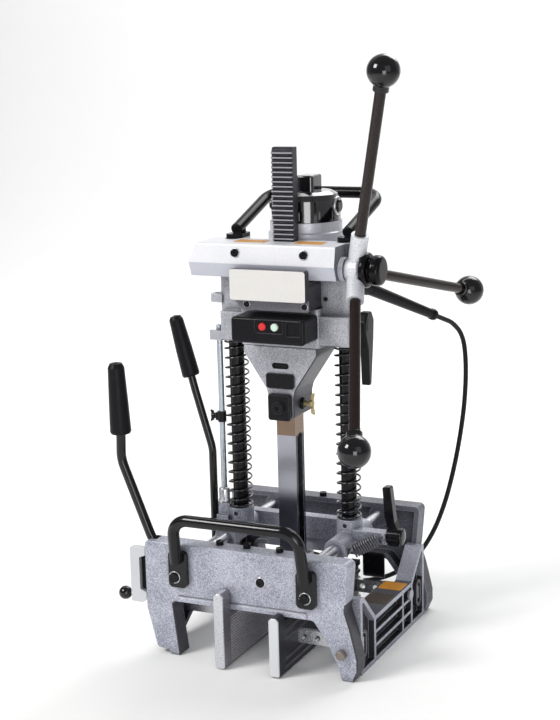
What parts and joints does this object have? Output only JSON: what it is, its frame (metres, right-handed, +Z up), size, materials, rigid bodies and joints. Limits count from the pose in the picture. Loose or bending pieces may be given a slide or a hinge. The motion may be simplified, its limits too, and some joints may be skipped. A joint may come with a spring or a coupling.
{
  "type": "hollow chisel mortiser",
  "caption": "Portable hollow chisel mortiser with a rack feed, sprung columns, timber clamp base and a three-arm handle.",
  "frame": {"origin": "on the floor under the middle of the machine's overall box, without the mains cord", "axes": "+X to the right of a user at the front, +Y to the back, +Z up along the chisel axis"},
  "size_m": [0.4327, 0.5485, 0.8536],
  "materials": {
    "cast_silver": "painted casting, fine hammered silver",
    "cast_bright": "painted casting, bright silver white",
    "cast_grey": "painted casting, dark grey",
    "motor_silver": "painted casting, smooth silver",
    "black_plastic": "moulded, satin black",
    "gloss_black": "moulded, polished black",
    "black_steel": "black painted tube",
    "dark_steel": "oiled dark steel",
    "steel": "ground steel",
    "rack_steel": "milled steel",
    "tool_steel": "polished tool steel",
    "zinc": "bright zinc plate",
    "jaw_metal": "machined, bright edges",
    "jaw_dark": "dark anodised, ribbed",
    "pin_steel": "browned steel",
    "bronze": "plain bronze",
    "red_plastic": "moulded red",
    "pale_plastic": "moulded pale green",
    "grip_rubber": "moulded grip",
    "cord_rubber": "flexible sheath"
  },
  "bodies": {
    "base": {"front_frame": "cast_silver", "rear_frame": "cast_silver", "left_rail": "cast_silver", "right_rail": "cast_silver", "guide_rods": "steel", "index_pin": "pin_steel", "base_bolts": "dark_steel", "front_handle": "black_steel", "latch_plate": "zinc"},
    "latch_knob": {"latch_knob": "gloss_black"},
    "left_jaw": {"left_jaw": "jaw_metal", "jaw_rods": "steel"},
    "right_jaw": {"right_jaw": "jaw_dark", "jaw_bars": "zinc"},
    "clamp_lever": {"clamp_lever": "black_steel", "clamp_grip": "grip_rubber"},
    "shift_lever": {"shift_lever": "black_steel", "shift_grip": "grip_rubber"},
    "carriage": {"carriage_casting": "cast_silver", "left_column": "dark_steel", "right_column": "dark_steel", "left_spring": "dark_steel", "right_spring": "dark_steel", "lock_spring": "steel", "crosshead": "cast_bright", "shaft_bushes": "bronze", "crosshead_bolts": "dark_steel", "top_handle": "black_steel", "depth_rod": "steel", "cord_guard": "black_plastic", "cord": "cord_rubber", "cord_coil": "cord_rubber", "plug": "cord_rubber"},
    "carriage_lock": {"carriage_lock_lever": "black_steel"},
    "stop_collar": {"stop_collar": "black_plastic"},
    "stop_wing": {"stop_wing_bolt": "dark_steel"},
    "feed_handle": {"pinion_shaft": "steel", "handle_hub": "cast_bright", "handle_arms": "black_steel", "handle_balls": "gloss_black", "end_knob": "black_plastic"},
    "head": {"head_casting": "cast_silver", "slide_bushes": "bronze", "gearbox": "cast_grey", "head_screws": "dark_steel", "motor_housing": "motor_silver", "motor_cover": "black_plastic", "brush_caps": "gloss_black", "nose": "cast_silver", "inspection_cover": "black_plastic", "chisel_clamp": "black_plastic", "chisel": "tool_steel", "rack": "rack_steel", "switch_box": "black_plastic"},
    "chisel_screw": {"chisel_wing_screw": "zinc"},
    "head_lock": {"head_lock_lever": "black_plastic"},
    "off_button": {"off_button": "red_plastic"},
    "on_button": {"on_button": "pale_plastic"},
    "spindle": {"chuck": "dark_steel", "auger_bit": "dark_steel"}
  },
  "joints": [
    {"name": "carriage_slide", "type": "slide", "parent": "base", "child": "carriage", "axis": [0, 1, 0], "range_m": [-0.03, 0.03]},
    {"name": "head_slide", "type": "slide", "parent": "carriage", "child": "head", "axis": [0, 0, 1], "range_m": [-0.166, 0], "stiffness_N_per_m": 700, "springref_m": 0.25, "deforming": ["left_spring", "right_spring"]},
    {"name": "feed_turn", "type": "hinge", "parent": "carriage", "child": "feed_handle", "pos_m": [0.06, -0.0395, 0.556], "axis": [1, 0, 0], "range_deg": [-680, 4]},
    {"name": "bit_spin", "type": "hinge", "parent": "head", "child": "spindle", "pos_m": [0, -0.0175, 0.42], "axis": [0, 0, 1], "continuous": true},
    {"name": "off_press", "type": "slide", "parent": "head", "child": "off_button", "axis": [0, 1, 0], "range_m": [0, 0.0025], "stiffness_N_per_m": 400, "springref_m": -0.002},
    {"name": "on_press", "type": "slide", "parent": "head", "child": "on_button", "axis": [0, 1, 0], "range_m": [0, 0.0025], "stiffness_N_per_m": 400, "springref_m": -0.002},
    {"name": "left_jaw_slide", "type": "slide", "parent": "base", "child": "left_jaw", "axis": [1, 0, 0], "range_m": [0, 0.0303]},
    {"name": "clamp_lever_swing", "type": "hinge", "parent": "base", "child": "clamp_lever", "pos_m": [-0.142, -0.1565, 0.13], "axis": [0, -1, 0], "range_deg": [0, 24.3]},
    {"name": "right_jaw_slide", "type": "slide", "parent": "base", "child": "right_jaw", "axis": [1, 0, 0], "range_m": [0, 0.035]},
    {"name": "shift_lever_swing", "type": "hinge", "parent": "base", "child": "shift_lever", "pos_m": [-0.13, -0.0175, 0.06], "axis": [1, 0, 0], "range_deg": [-18.4, 18.4]},
    {"name": "carriage_lock_turn", "type": "hinge", "parent": "carriage", "child": "carriage_lock", "pos_m": [0.162, -0.0175, 0.165], "axis": [1, 0, 0], "range_deg": [-25, 25]},
    {"name": "head_lock_turn", "type": "hinge", "parent": "head", "child": "head_lock", "pos_m": [0.118, -0.0095, 0.472], "axis": [1, 0, 0], "range_deg": [0, 60]},
    {"name": "latch_pull", "type": "slide", "parent": "base", "child": "latch_knob", "axis": [-1, 0, 0], "range_m": [0, 0.008], "stiffness_N_per_m": 300, "springref_m": -0.003},
    {"name": "stop_collar_slide", "type": "slide", "parent": "carriage", "child": "stop_collar", "axis": [0, 0, 1], "range_m": [-0.01, 0.06]},
    {"name": "stop_wing_turn", "type": "hinge", "parent": "stop_collar", "child": "stop_wing", "pos_m": [-0.12, -0.0175, 0.322], "axis": [-1, 0, 0], "range_deg": [-90, 90]},
    {"name": "chisel_screw_turn", "type": "hinge", "parent": "head", "child": "chisel_screw", "pos_m": [0.036, -0.0175, 0.352], "axis": [1, 0, 0], "range_deg": [-90, 90]}
  ],
  "couplings": [
    {"joint": "feed_turn", "follows": "head_slide", "rad_per_m": 71.077},
    {"joint": "clamp_lever_swing", "follows": "left_jaw_slide", "rad_per_m": 13.793},
    {"joint": "shift_lever_swing", "follows": "carriage_slide", "rad_per_m": -10.526}
  ]
}
